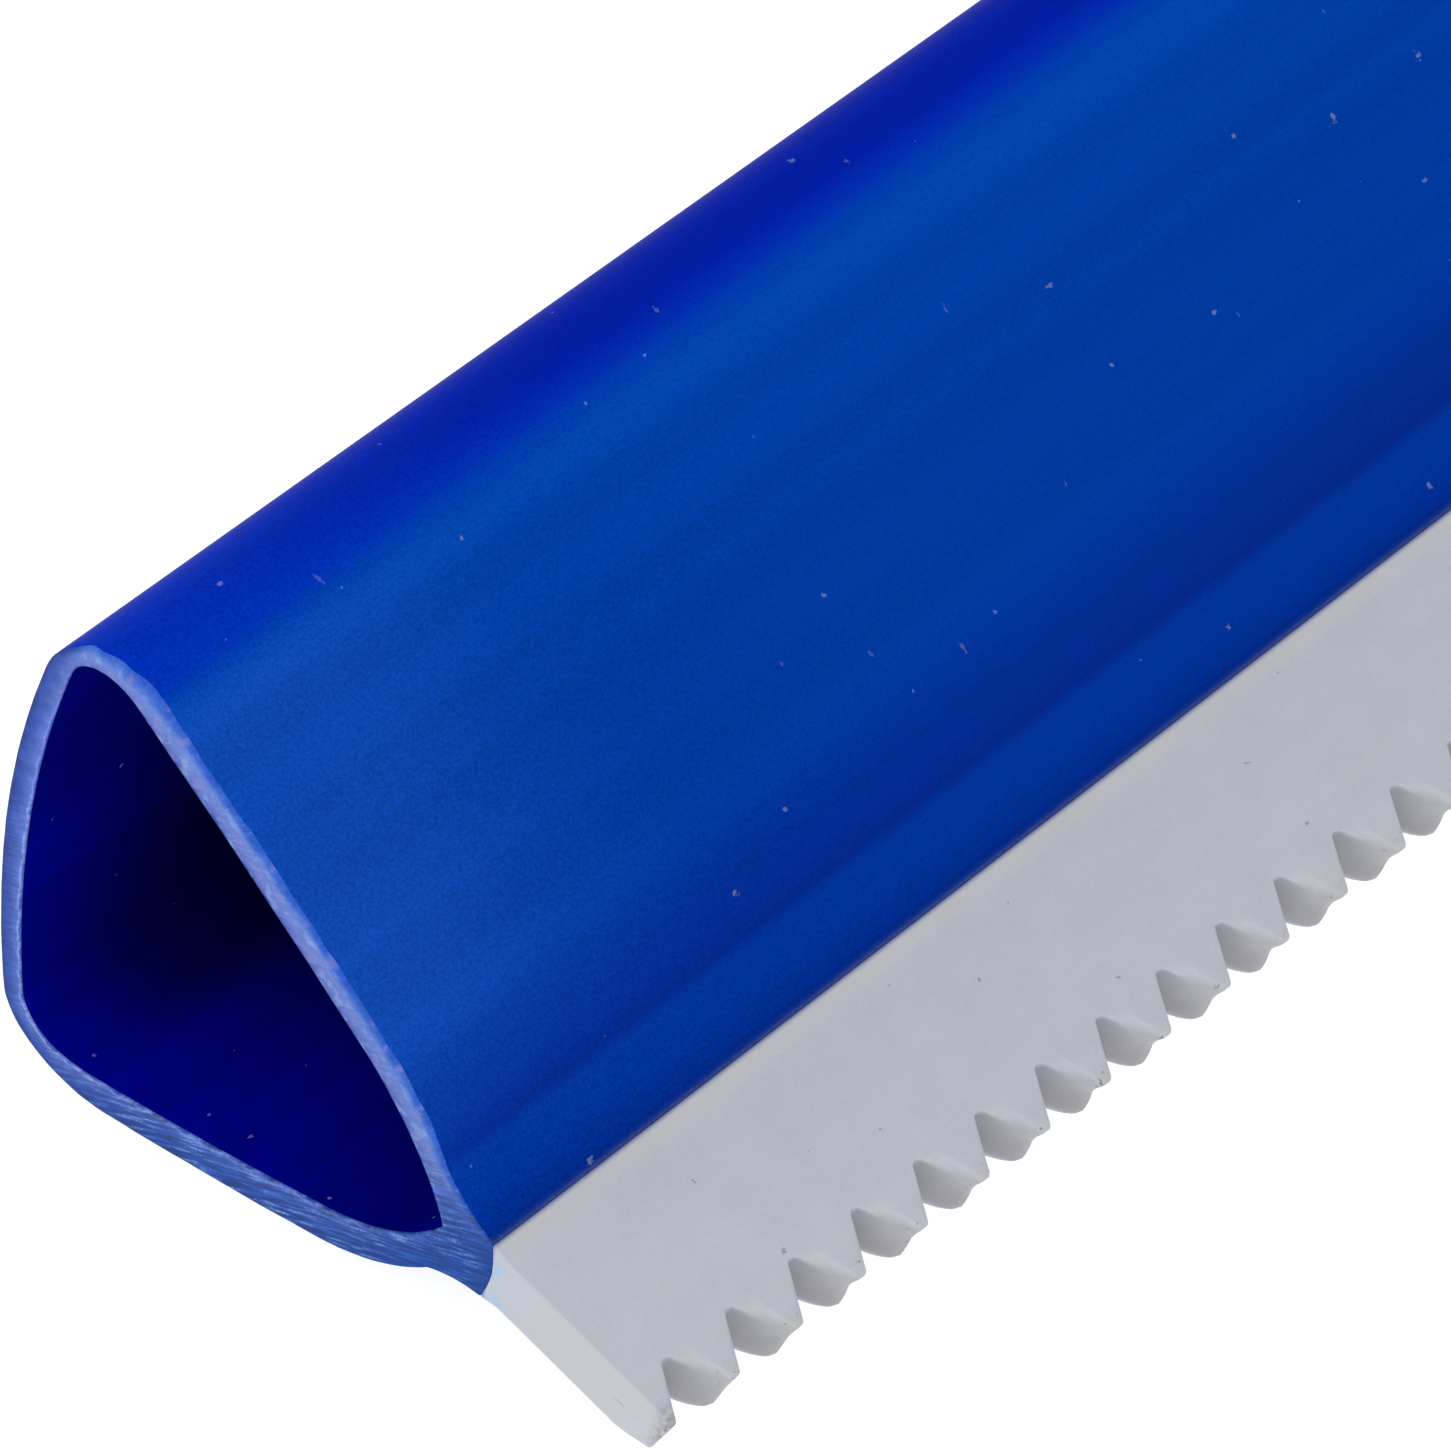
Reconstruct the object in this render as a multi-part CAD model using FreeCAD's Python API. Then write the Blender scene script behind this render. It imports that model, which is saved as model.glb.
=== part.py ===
import FreeCAD, Part
import math
import os

# Notched adhesive trowel, co-extruded in two plastics: a hollow handle profile of rounded triangular
# section, and a softer lip fused to the nose of the profile, with V notches along its free edge.
# Millimetres.
#
# A section point is (across, back): across from the middle plane towards the side that faces up, and
# back from the weld between nose and lip towards the back of the handle, so the lip has negative
# values. The tool is swept along X with across as +Z and back as +Y. It is then leaned about X, until
# it lies as it does on a bench, on one heel of the handle and one corner of the lip.

# Length of the tool
LENGTH = 180.0

# Handle section: (radius, degrees turned) of the tangent arcs that run from the middle of the back to
# the nose, on each side of the middle plane. The upper side has the rounder corner.
BACK_HEIGHT = 36.3
UPPER_ARCS = [
    (85.0, 9.53),     # crowned back
    (6.6, 105.4),     # upper corner
    (158.0, 6.97),    # upper panel
    (17.0, 24.6),     # cheek above the nose
]
UNDER_ARCS = [
    (85.0, 11.3),     # crowned back
    (3.75, 57.7),     # heel corner
    (7.6, 45.7),      # heel, running out into the panel
    (258.0, 3.8),     # under panel
    (21.0, 28.0),     # cheek above the nose
]
HEEL_ARC = 2          # the arc of the under side that the tool lies on
HOLLOW_HEIGHT = 34.7
UPPER_HOLLOW_ARCS = [
    (93.0, 9.36),     # inside of the back
    (3.4, 106.3),     # inner corner
    (264.0, 4.44),    # inside of the panel
    (17.7, 34.8),     # turn into the nose
]
UNDER_HOLLOW_ARCS = [
    (93.0, 9.7),      # inside of the back
    (2.8, 89.5),      # inner heel corner
    (9.1, 16.7),      # run-out into the panel
    (264.0, 4.2),     # inside of the panel
    (17.7, 34.8),     # turn into the nose
]
NECK_SAG = 0.22       # how hollow the neck is between cheek and weld

# Weld between the nose and the lip: half its width, and how far it bows into the lip
WELD_HALF = 2.65
WELD_BOW = 0.3

# Lip section. The tip is cut at a slant, so the lip is longer at its upper face.
LIP_HALF = 2.3        # half the thickness below the shoulder
LIP_SHOULDER = 1.3    # from the weld down to where the faces become parallel
UPPER_DEPTH = 13.15   # depth of the tip at the upper face
UNDER_DEPTH = 12.35   # depth of the tip at the under face
TIP_ROUND = 0.45      # radius of the under corner of the tip

# Notches
PITCH = 4.5
NOTCH_COUNT = 40
FIRST_NOTCH = 2.4     # from the end of the tool to the middle of the first notch
NOTCH_DEPTH = 3.05    # from the tip to the bottom of the round root
NOTCH_ANGLE = 60.0    # between the two flanks
ROOT_RADIUS = 0.35
SHOULDER_RADIUS = 0.35

# The saw burr is taken off the outer edge of the handle at both ends, behind the neck
END_CHAMFER = 0.3


def vec(point, x=0.0):
    """A section point in the plane at x, before the tool is leaned."""
    return FreeCAD.Vector(x, point[1], point[0])


def line(start, end):
    return Part.LineSegment(vec(start), vec(end)).toShape()


def arc(start, middle, end):
    return Part.Arc(vec(start), vec(middle), vec(end)).toShape()


def bowed(start, end, sag):
    """Arc from start to end whose middle stands sag to the left of the chord."""
    run = (end[0] - start[0], end[1] - start[1])
    chord = math.hypot(run[0], run[1])
    middle_across = (start[0] + end[0]) / 2 - sag * run[1] / chord
    middle_back = (start[1] + end[1]) / 2 + sag * run[0] / chord
    return arc(start, (middle_across, middle_back), end)


def mirrored(point):
    return (-point[0], point[1])


def stepped(point, distance, heading):
    """The point that lies at a distance in a heading given in degrees."""
    angle = math.radians(heading)
    return (point[0] + distance * math.cos(angle), point[1] + distance * math.sin(angle))


def arc_chain(height, arcs):
    """Tangent arcs that leave (0, height) along the back and turn round towards the nose.

    Returns [start, middle, end] of each arc, and the heading in degrees at the last end.
    """
    chain = []
    start = (0.0, height)
    heading = 0.0
    for radius, turn in arcs:
        half_chord = 2 * radius * math.sin(math.radians(turn / 4))
        full_chord = 2 * radius * math.sin(math.radians(turn / 2))
        middle = stepped(start, half_chord, heading - turn / 4)
        end = stepped(start, full_chord, heading - turn / 2)
        chain.append([start, middle, end])
        start = end
        heading -= turn
    return chain, heading


def on_side(side, point):
    """A point of the upper side (1), or its mirror image on the under side (-1)."""
    return (side * point[0], point[1])


def chain_edges(side, chain):
    return [arc(*[on_side(side, point) for point in points]) for points in chain]


def closed_face(edges):
    ordered = Part.sortEdges(edges)[0]
    return Part.Face(Part.Wire(ordered))


def swept(face, length):
    """A section face swept along X over a length that is centred on X = 0."""
    face.translate(FreeCAD.Vector(-length / 2, 0, 0))
    return face.extrude(FreeCAD.Vector(length, 0, 0))


def weld_edge():
    """The weld across the nose, bowed into the lip."""
    return bowed((-WELD_HALF, 0.0), (WELD_HALF, 0.0), -WELD_BOW)


def handle_outline(inset=0.0):
    """The outside of the handle, or its copy moved in by inset everywhere behind the neck."""
    edges = [weld_edge()]
    for side, side_arcs in ((1, UPPER_ARCS), (-1, UNDER_ARCS)):
        arcs = [(radius - inset, turn) for radius, turn in side_arcs]
        chain, heading = arc_chain(BACK_HEIGHT - inset, arcs)
        cheek = on_side(side, chain[-1][2])
        edges += chain_edges(side, chain)
        edges.append(bowed(cheek, (side * WELD_HALF, 0.0), -side * NECK_SAG))
    return closed_face(edges)


def hollow_outline():
    """The hollow, closed at the nose by a small arc that carries on from both sides."""
    edges = []
    ends = []
    for side, arcs in ((1, UPPER_HOLLOW_ARCS), (-1, UNDER_HOLLOW_ARCS)):
        chain, heading = arc_chain(HOLLOW_HEIGHT, arcs)
        edges += chain_edges(side, chain)
        ends.append(on_side(side, chain[-1][2]))
    upper, under = ends
    left_to_turn = math.radians(180.0 + heading)
    radius = upper[0] / math.sin(left_to_turn)
    bottom = (0.0, upper[1] - radius * (1 - math.cos(left_to_turn)))
    return closed_face(edges + [arc(upper, bottom, under)])


def chamfered_end(side):
    """The last slice of the handle, narrowed to the sawn face; side is 1 or -1."""
    wide = handle_outline().OuterWire
    narrow = handle_outline(END_CHAMFER).OuterWire
    wide.translate(FreeCAD.Vector(side * (LENGTH / 2 - END_CHAMFER), 0, 0))
    narrow.translate(FreeCAD.Vector(side * LENGTH / 2, 0, 0))
    return Part.makeLoft([wide, narrow], True, True)


def handle_profile():
    body = swept(handle_outline(), LENGTH - 2 * END_CHAMFER)
    body = body.fuse([chamfered_end(-1), chamfered_end(1)]).removeSplitter()
    return body.cut(swept(hollow_outline(), LENGTH))


def rounded_corner(before, corner, after, radius):
    """Start, middle, end and centre of the arc of a given radius that rounds a corner off."""
    to_before = math.atan2(before[1] - corner[1], before[0] - corner[0])
    to_after = math.atan2(after[1] - corner[1], after[0] - corner[0])
    half = (to_after - to_before) / 2
    bisector = math.degrees(to_before + half)
    set_back = radius / abs(math.tan(half))
    to_centre = radius / abs(math.sin(half))
    start = stepped(corner, set_back, math.degrees(to_before))
    middle = stepped(corner, to_centre - radius, bisector)
    end = stepped(corner, set_back, math.degrees(to_after))
    return start, middle, end, stepped(corner, to_centre, bisector)


def tip_rounding():
    """The arc at the under corner of the tip, from the slanted tip to the under face."""
    upper_tip = (LIP_HALF, -UPPER_DEPTH)
    under_tip = (-LIP_HALF, -UNDER_DEPTH)
    return rounded_corner(upper_tip, under_tip, (-LIP_HALF, 0.0), TIP_ROUND)


def lip_outline():
    upper_root = (WELD_HALF, 0.0)
    upper_shoulder = (LIP_HALF, -LIP_SHOULDER)
    upper_tip = (LIP_HALF, -UPPER_DEPTH)
    round_start, round_middle, round_end, centre = tip_rounding()
    edges = [
        weld_edge(),
        line(upper_root, upper_shoulder),
        line(upper_shoulder, upper_tip),
        line(upper_tip, round_start),
        arc(round_start, round_middle, round_end),
        line(round_end, mirrored(upper_shoulder)),
        line(mirrored(upper_shoulder), mirrored(upper_root)),
    ]
    return closed_face(edges)


def notch_cutter():
    """Prism that cuts one notch at X = 0, with a round root and rounded shoulders.

    Its outline is drawn on the lip as (x, back). It runs across the lip parallel to the slanted tip,
    and past both faces.
    """
    half_angle = math.radians(NOTCH_ANGLE / 2)
    sharp_depth = NOTCH_DEPTH + ROOT_RADIUS / math.sin(half_angle) - ROOT_RADIUS
    mouth_half = sharp_depth * math.tan(half_angle)
    tip = -UPPER_DEPTH
    root = (0.0, tip + sharp_depth)
    shoulder = (mouth_half, tip)
    land = (PITCH / 2, tip)
    root_arc = rounded_corner(mirrored(shoulder), root, shoulder, ROOT_RADIUS)
    land_arc = rounded_corner(root, shoulder, land, SHOULDER_RADIUS)
    below = (land_arc[2][0], tip - 1.0)

    def on_lip(point):
        return FreeCAD.Vector(point[0], point[1], LIP_HALF)

    def edge(start, end):
        return Part.LineSegment(on_lip(start), on_lip(end)).toShape()

    def rounding(points):
        return Part.Arc(on_lip(points[0]), on_lip(points[1]), on_lip(points[2])).toShape()

    other_arc = [mirrored(point) for point in land_arc]
    edges = [
        rounding(root_arc),
        edge(root_arc[2], land_arc[0]),
        rounding(land_arc),
        edge(land_arc[2], below),
        edge(below, mirrored(below)),
        edge(mirrored(below), other_arc[2]),
        rounding(other_arc),
        edge(other_arc[0], root_arc[0]),
    ]
    face = closed_face(edges)
    tip_run = FreeCAD.Vector(0, UPPER_DEPTH - UNDER_DEPTH, -2 * LIP_HALF)
    face.translate(tip_run * -0.5)
    return face.extrude(tip_run * 2.0)


def notched_lip():
    cutter = notch_cutter()
    cutters = []
    for index in range(NOTCH_COUNT):
        one = cutter.copy()
        one.translate(FreeCAD.Vector(FIRST_NOTCH + index * PITCH - LENGTH / 2, 0, 0))
        cutters.append(one)
    return swept(lip_outline(), LENGTH).cut(cutters)


def lean_angle():
    """Angle in degrees at which the heel and the under corner of the tip stand on one level."""
    heel_radius = UNDER_ARCS[HEEL_ARC][0]
    chain, heading = arc_chain(BACK_HEIGHT, UNDER_ARCS[:HEEL_ARC])
    heel = mirrored(stepped(chain[-1][2], heel_radius, heading - 90.0))
    tip = tip_rounding()[3]
    across = heel[0] - tip[0]
    back = heel[1] - tip[1]
    rise = heel_radius - TIP_ROUND
    return math.degrees(math.asin(rise / math.hypot(across, back)) - math.atan2(across, back))


def main():
    nodes = {"handle_profile": handle_profile(), "notched_lip": notched_lip()}
    lean = lean_angle()
    for shape in nodes.values():
        shape.rotate(FreeCAD.Vector(0, 0, 0), FreeCAD.Vector(1, 0, 0), lean)
    box = Part.makeCompound(list(nodes.values())).optimalBoundingBox(False, False)
    to_origin = FreeCAD.Vector(0, -box.Center.y, -box.ZMin)
    os.makedirs("parts", exist_ok=True)
    for name, shape in nodes.items():
        shape.translate(to_origin)
        shape.exportStep("parts/" + name + ".step")
        print(name, "valid", shape.isValid(), "solids", len(shape.Solids), "volume", round(shape.Volume))
    print("lean", round(lean, 3), "shift", round(to_origin.y, 4), round(to_origin.z, 4))
    print("size", round(box.XLength, 2), round(box.YLength, 2), round(box.ZLength, 2))


main()
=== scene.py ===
import math

import bmesh
import bpy
from mathutils import Matrix, Vector, noise


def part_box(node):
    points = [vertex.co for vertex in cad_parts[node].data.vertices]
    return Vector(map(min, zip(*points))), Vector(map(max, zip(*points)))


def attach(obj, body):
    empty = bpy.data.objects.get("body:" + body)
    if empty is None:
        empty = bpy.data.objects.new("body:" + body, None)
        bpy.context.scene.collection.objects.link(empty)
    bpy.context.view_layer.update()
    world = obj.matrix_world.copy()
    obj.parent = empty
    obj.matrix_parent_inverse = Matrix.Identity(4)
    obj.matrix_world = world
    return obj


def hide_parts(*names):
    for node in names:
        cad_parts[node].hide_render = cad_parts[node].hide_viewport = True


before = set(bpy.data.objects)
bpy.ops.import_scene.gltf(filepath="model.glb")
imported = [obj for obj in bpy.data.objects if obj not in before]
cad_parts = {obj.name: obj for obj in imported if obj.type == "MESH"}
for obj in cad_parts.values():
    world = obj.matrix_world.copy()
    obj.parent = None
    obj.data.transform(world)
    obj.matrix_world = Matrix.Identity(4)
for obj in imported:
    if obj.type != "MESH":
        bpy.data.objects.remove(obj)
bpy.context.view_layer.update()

# The look of a notched adhesive trowel: a hollow handle profile with sawn ends, and a softer lip with V
# notches. Both pieces are meshes drawn along X from the section that the CAD model has. A section point
# is (across, back) in millimetres, where across points to the upper side and back away from the weld
# towards the back of the handle. placed() puts it in the frame, in metres.

BODY = "root"
MM = 0.001

# ---------------- section, as in the CAD model

# Handle: (radius, degrees turned) of tangent arcs from the middle of the back to the nose
BACK_HEIGHT = 36.3
UPPER_ARCS = [
    (85.0, 9.53),     # crowned back
    (6.6, 105.4),     # upper corner
    (158.0, 6.97),    # upper panel
    (17.0, 24.6),     # cheek above the nose
]
UNDER_ARCS = [
    (85.0, 11.3),     # crowned back
    (3.75, 57.7),     # heel corner
    (7.6, 45.7),      # heel, running out into the panel
    (258.0, 3.8),     # under panel
    (21.0, 28.0),     # cheek above the nose
]
HEEL_ARC = 2          # the arc of the under side that the tool lies on
HOLLOW_HEIGHT = 34.7
UPPER_HOLLOW_ARCS = [
    (93.0, 9.36),     # inside of the back
    (3.4, 106.3),     # inner corner
    (264.0, 4.44),    # inside of the panel
    (17.7, 34.8),     # turn into the nose
]
UNDER_HOLLOW_ARCS = [
    (93.0, 9.7),      # inside of the back
    (2.8, 89.5),      # inner heel corner
    (9.1, 16.7),      # run-out into the panel
    (264.0, 4.2),     # inside of the panel
    (17.7, 34.8),     # turn into the nose
]
NECK_SAG = 0.22       # how hollow the neck is between cheek and weld
WELD_HALF = 2.65      # half the width of the weld
WELD_BOW = 0.3        # how far it bows into the lip

LIP_HALF = 2.3        # half the thickness of the lip below its shoulder
LIP_SHOULDER = 1.3    # from the weld down to where the faces become parallel
UPPER_DEPTH = 13.15   # depth of the tip at the upper face
UNDER_DEPTH = 12.35   # depth of the tip at the under face
TIP_ROUND = 0.45      # radius of the under corner of the tip

PITCH = 4.5
NOTCH_COUNT = 40
FIRST_NOTCH = 2.4     # from the end of the tool to the middle of the first notch
NOTCH_DEPTH = 3.05
NOTCH_ANGLE = 60.0    # between the two flanks
ROOT_RADIUS = 0.35
SHOULDER_RADIUS = 0.35

# ---------------- camera and stage

VIEW_TARGET = (-63.85, -6.58, 22.0)
VIEW_DISTANCE = 481.46
VIEW_AZIMUTH = -37.217
VIEW_ELEVATION = 39.602
VIEW_ROLL = -10.853
VIEW_LENS = 233.12
FLOOR = 3.0           # half the side of the floor, in metres
FLOOR_GLOW = 0.88
SKY = 0.6
LIGHT_AIM = (-0.05, 0.0, 0.02)     # in metres, like the places of the lights

# ---------------- detail that only the mesh has

PANEL, HOLLOW, SAWN = 0, 1, 2    # material slots of the handle

# Handle
HUB = (0.0, 20.0)        # a point from which both outlines are seen once in each direction
RIM_RADIUS = 0.3         # roundness of the outer edge of a sawn end along the upper panel
CORNER_RIM = 0.75        # round its upper corner
SHARP_RIM = 0.1          # and along the rest of it
RIM_DRIFT = 0.5          # how uneven that roundness is
BORE_RADIUS = 0.12       # roundness of its inner edge
BORE_ROOM = 0.1          # from that rounding to the first ring of the hollow
WELD_EASE = 0.08         # how far both plastics round off at the weld
RIDGE_HEIGHT = 0.006     # fine ridges that the die leaves along the handle
WAVE_HEIGHT = 0.03       # slow waves across the panels
INNER_WAVES = 2          # how many times higher they are in the hollow
INNER_SHIFT = 50.0       # how far round the skin they are shifted from those outside
BURR_HEIGHT = 0.09       # saw burr that stands up along the inner edge
BURR_FROM = 0.75         # share of the way to that edge at which the burr begins
SAW_WAVE = 0.03          # unevenness of the sawn faces
SAW_MARK = 0.012         # depth of the saw marks
SAW_LAY = math.radians(49.0)     # direction of the saw marks, below the across axis
SAW_ROOM = 0.03          # how far the sawn faces stay inside the CAD length

# Lip
EDGE_EASE = (0.12, 0.25, 0.8, 0.3)   # roundness of its upper edge: root, near and far flank, tip
UNDER_EASE = (0.08, 0.45)    # roundness of its under edge across the lip: in a root, at a tip
UNDER_RUN = (0.08, 0.5)      # and along its depth
CUT_DISH = 0.32          # how hollow the die-cut faces are across the lip
NOTCH_DRIFT = 0.05       # how much the notches differ
UNDER_SHOULDER = 1.0     # the notches' shoulders are rounder at the under face
UNDER_BULGE = 0.22       # and their flanks are a little convex there
END_EASE = 0.14          # roundness round its end faces
END_ROOM = 0.02          # how far the end faces stay inside the CAD length
END_MARKS = 0.5          # share of the handle's saw marks that the end faces have
END_TRIM = 0.8           # how much of the tip's under corner the saw takes off at the ends
END_TRIM_LENGTH = 0.6    # how far that reaches along the lip
END_TRIM_FROM = 9.8      # and the depth at which it begins
SPINE_ROOM = 0.7         # how far the middle line of an end face stays from the weld
SPINE_TIP_ROOM = 1.2     # and from the tip
CAP_SHARES = (1.0, 0.66, 0.33, 0.0)   # rings of an end face, from that line out to its rounding

# Fineness of the meshes
ARC_STEP = 0.55          # longest step between section points on an arc
ARC_TURN = 4.0           # most degrees turned between section points
NECK_STEPS = 12
WELD_STEPS = 8
LIP_WELD_STEPS = 4
NOSE_STEPS = 6
RIM_STEPS = 6
FACE_STEPS = 8
WALL_STEPS = 60
EASE_STEPS = 7
TIP_STEPS = 4
BAND_STEPS = 12
MERGE = 0.001            # points nearer than this are one point
FACE_DEPTHS = (0.08, 0.2, 0.35, 0.55, 0.8, 1.05, 1.3, 3.0, 5.5, 8.0)
# Distances from the middle of a notch, over its root, its flank and its shoulder
ROOT_STATIONS = (0.0, 0.07, 0.14, 0.2, 0.25, 0.29, 0.33)
FLANK_STATIONS = (0.45, 0.75, 1.05, 1.35, 1.6, 1.77)
SHOULDER_STATIONS = (1.87, 1.94, 2.01, 2.08, 2.15, 2.25)


def stepped(point, distance, heading):
    angle = math.radians(heading)
    return (point[0] + distance * math.cos(angle), point[1] + distance * math.sin(angle))


def mirrored(point):
    return (-point[0], point[1])


def between(low, high, share):
    return low + (high - low) * share


def smooth(low, high, value):
    """0 below low, 1 above high, and a smooth step between."""
    share = min(1.0, max(0.0, (value - low) / (high - low)))
    return share * share * (3 - 2 * share)


def stations(low, high, count):
    """Evenly spaced values from low to high, with count steps between them."""
    return [between(low, high, index / count) for index in range(count + 1)]


def quarter_turn(count):
    """Evenly spaced angles up to a right angle, without the zero."""
    return [math.pi / 2 * step / count for step in range(1, count + 1)]


def arc_chain(height, arcs):
    """Points of tangent arcs from the middle of the back round to the nose, and the last heading."""
    points = [(0.0, height)]
    heading = 0.0
    for radius, turn in arcs:
        length = radius * math.radians(turn)
        count = math.ceil(max(length / ARC_STEP, turn / ARC_TURN))
        chord = 2 * radius * math.sin(math.radians(turn / count / 2))
        for index in range(count):
            points.append(stepped(points[-1], chord, heading - turn / count / 2))
            heading -= turn / count
    return points, heading


def bowed(start, end, sag, count):
    """Points after start along an arc whose middle stands sag to the left of the chord."""
    run = (end[0] - start[0], end[1] - start[1])
    chord = math.hypot(run[0], run[1])
    points = []
    for index in range(1, count + 1):
        share = index / count
        rise = sag * 4 * share * (1 - share) / chord
        across = start[0] + run[0] * share - rise * run[1]
        back = start[1] + run[1] * share + rise * run[0]
        points.append((across, back))
    return points


def weld_back(across):
    """The weld line, bowed into the lip."""
    return -WELD_BOW * (1 - (across / WELD_HALF) ** 2)


def outer_side(arcs):
    """Points of one side of the handle, from the middle of the back to the middle of the weld."""
    chain = arc_chain(BACK_HEIGHT, arcs)[0]
    neck = bowed(chain[-1], (WELD_HALF, 0.0), -NECK_SAG, NECK_STEPS)
    start_of_weld = WELD_HALF - WELD_EASE
    # Two points round off the edge at the weld
    corner = [
        (WELD_HALF + 0.4 * WELD_EASE, WELD_EASE),
        (WELD_HALF - 0.2 * WELD_EASE, 0.2 * WELD_EASE),
    ]
    weld = []
    for index in range(WELD_STEPS + 1):
        across = start_of_weld * (1 - index / WELD_STEPS)
        weld.append((across, weld_back(across)))
    return chain + neck[:-1] + corner + weld


def hollow_side(arcs):
    """Points of one side of the hollow, from the middle of the back to the middle of the nose."""
    chain, heading = arc_chain(HOLLOW_HEIGHT, arcs)
    left_to_turn = 180.0 + heading
    radius = chain[-1][0] / math.sin(math.radians(left_to_turn))
    turn = left_to_turn / NOSE_STEPS
    chord = 2 * radius * math.sin(math.radians(turn / 2))
    for index in range(NOSE_STEPS):
        chain.append(stepped(chain[-1], chord, heading - turn / 2))
        heading -= turn
    return chain


def closed(upper, under):
    """Ring of the points of the upper side, and back along the mirror image of the under side."""
    return upper + [mirrored(point) for point in reversed(under[1:-1])]


def tip_centre():
    """Centre of the rounding at the under corner of the lip's tip."""
    slope = (UPPER_DEPTH - UNDER_DEPTH) / (2 * LIP_HALF)
    depth = UNDER_DEPTH + TIP_ROUND * (slope - math.hypot(1, slope))
    return (TIP_ROUND - LIP_HALF, -depth)


def lean_angle():
    """Angle about X at which the heel and the under corner of the tip stand on one level."""
    heel_radius = UNDER_ARCS[HEEL_ARC][0]
    chain, heading = arc_chain(BACK_HEIGHT, UNDER_ARCS[:HEEL_ARC])
    heel = mirrored(stepped(chain[-1], heel_radius, heading - 90.0))
    tip = tip_centre()
    across = heel[0] - tip[0]
    back = heel[1] - tip[1]
    return math.asin((heel_radius - TIP_ROUND) / math.hypot(across, back)) - math.atan2(across, back)


LEAN = lean_angle()
HANDLE_LOW, HANDLE_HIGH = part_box("handle_profile")
LIP_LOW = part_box("notched_lip")[0]
LENGTH = (HANDLE_HIGH.x - HANDLE_LOW.x) / MM
LEFT = HANDLE_LOW.x / MM
RIGHT = HANDLE_HIGH.x / MM
# The tip's upper corner is the foremost point of the lip, and its rounded under corner is the lowest
ORIGIN_Y = LIP_LOW.y / MM + UPPER_DEPTH * math.cos(LEAN) + LIP_HALF * math.sin(LEAN)
ORIGIN_Z = TIP_ROUND - tip_centre()[0] * math.cos(LEAN) - tip_centre()[1] * math.sin(LEAN)


def placed(x, across, back):
    """A point of the tool in the frame, in metres."""
    y = ORIGIN_Y + back * math.cos(LEAN) - across * math.sin(LEAN)
    z = ORIGIN_Z + back * math.sin(LEAN) + across * math.cos(LEAN)
    return Vector((x * MM, y * MM, z * MM))


# ---------------- mesh building

def closed_grid(name, rings, slots, materials, layers):
    """Mesh of quads between rings of equal length. Each ring is a closed list of (x, across, back).

    slots has the material of each row of quads. layers maps the name of a coordinate layer to a
    function of (row, ring, spot), where spot runs one past the last point of the ring.
    """
    size = len(rings[0])
    rows = len(rings) - 1
    mesh = bpy.data.meshes.new(name)
    faces = []
    for row in range(rows):
        low = row * size
        high = low + size
        for col in range(size):
            following = (col + 1) % size
            faces.append((low + col, high + col, high + following, low + following))
    mesh.from_pydata([placed(*point) for ring in rings for point in ring], [], faces)
    for layer_name, coordinate in layers.items():
        flat = []
        for row in range(rows):
            for col in range(size):
                for ring, spot in ((row, col), (row + 1, col), (row + 1, col + 1), (row, col + 1)):
                    flat.extend(coordinate(row, ring, spot))
        mesh.uv_layers.new(name=layer_name).data.foreach_set("uv", flat)
    for material in materials:
        mesh.materials.append(material)
    face_slots = [slots[row] for row in range(rows) for col in range(size)]
    mesh.polygons.foreach_set("material_index", face_slots)
    mesh.polygons.foreach_set("use_smooth", [True] * len(faces))
    piece = bpy.data.objects.new(name, mesh)
    bpy.context.scene.collection.objects.link(piece)
    return piece


def join_ends(piece):
    """Merges points that lie on each other, and drops the faces that this leaves empty."""
    shape = bmesh.new()
    shape.from_mesh(piece.data)
    bmesh.ops.remove_doubles(shape, verts=shape.verts, dist=MERGE * MM)
    bmesh.ops.dissolve_degenerate(shape, dist=MERGE * MM, edges=shape.edges)
    bmesh.ops.recalc_face_normals(shape, faces=shape.faces)
    shape.to_mesh(piece.data)
    shape.free()


# ---------------- handle

def ray_hit(outline, target):
    """Where the line from HUB to target crosses an outline given as points."""
    aim = (target[0] - HUB[0], target[1] - HUB[1])
    best = None
    for start, end in zip(outline, outline[1:] + outline[:1]):
        run = (end[0] - start[0], end[1] - start[1])
        off = (start[0] - HUB[0], start[1] - HUB[1])
        turn = aim[0] * run[1] - aim[1] * run[0]
        if abs(turn) < 1e-12:
            continue
        reach = (off[0] * run[1] - off[1] * run[0]) / turn
        along = (off[0] * aim[1] - off[1] * aim[0]) / turn
        if reach > 0 and -1e-9 <= along <= 1 + 1e-9 and (best is None or reach > best):
            best = reach
    return (HUB[0] + best * aim[0], HUB[1] + best * aim[1])


def girths(ring):
    """Distance round the ring of each point, with one more for the point where it closes."""
    total = [0.0]
    for start, end in zip(ring, ring[1:] + ring[:1]):
        total.append(total[-1] + math.hypot(end[0] - start[0], end[1] - start[1]))
    return total


def ridge(girth, x):
    """Height of the fine ridges and slow waves that the die leaves along the handle."""
    fine = noise.noise(Vector((girth * 1.9, x * 0.004, 3.1)))
    broad = noise.noise(Vector((girth * 0.33, x * 0.006, 7.7)))
    return RIDGE_HEIGHT * fine + WAVE_HEIGHT * broad


def saw_height(across, back):
    """How far the sawn face stands proud of flat: slow waves and the marks of the saw's teeth."""
    lay = across * math.sin(SAW_LAY) + back * math.cos(SAW_LAY)
    along = across * math.cos(SAW_LAY) - back * math.sin(SAW_LAY)
    wave = noise.noise(Vector((across * 0.25, back * 0.25, 1.3)))
    marks = noise.noise(Vector((lay * 2.6, along * 0.12, 5.9)))
    return SAW_WAVE * wave + SAW_MARK * marks


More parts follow.
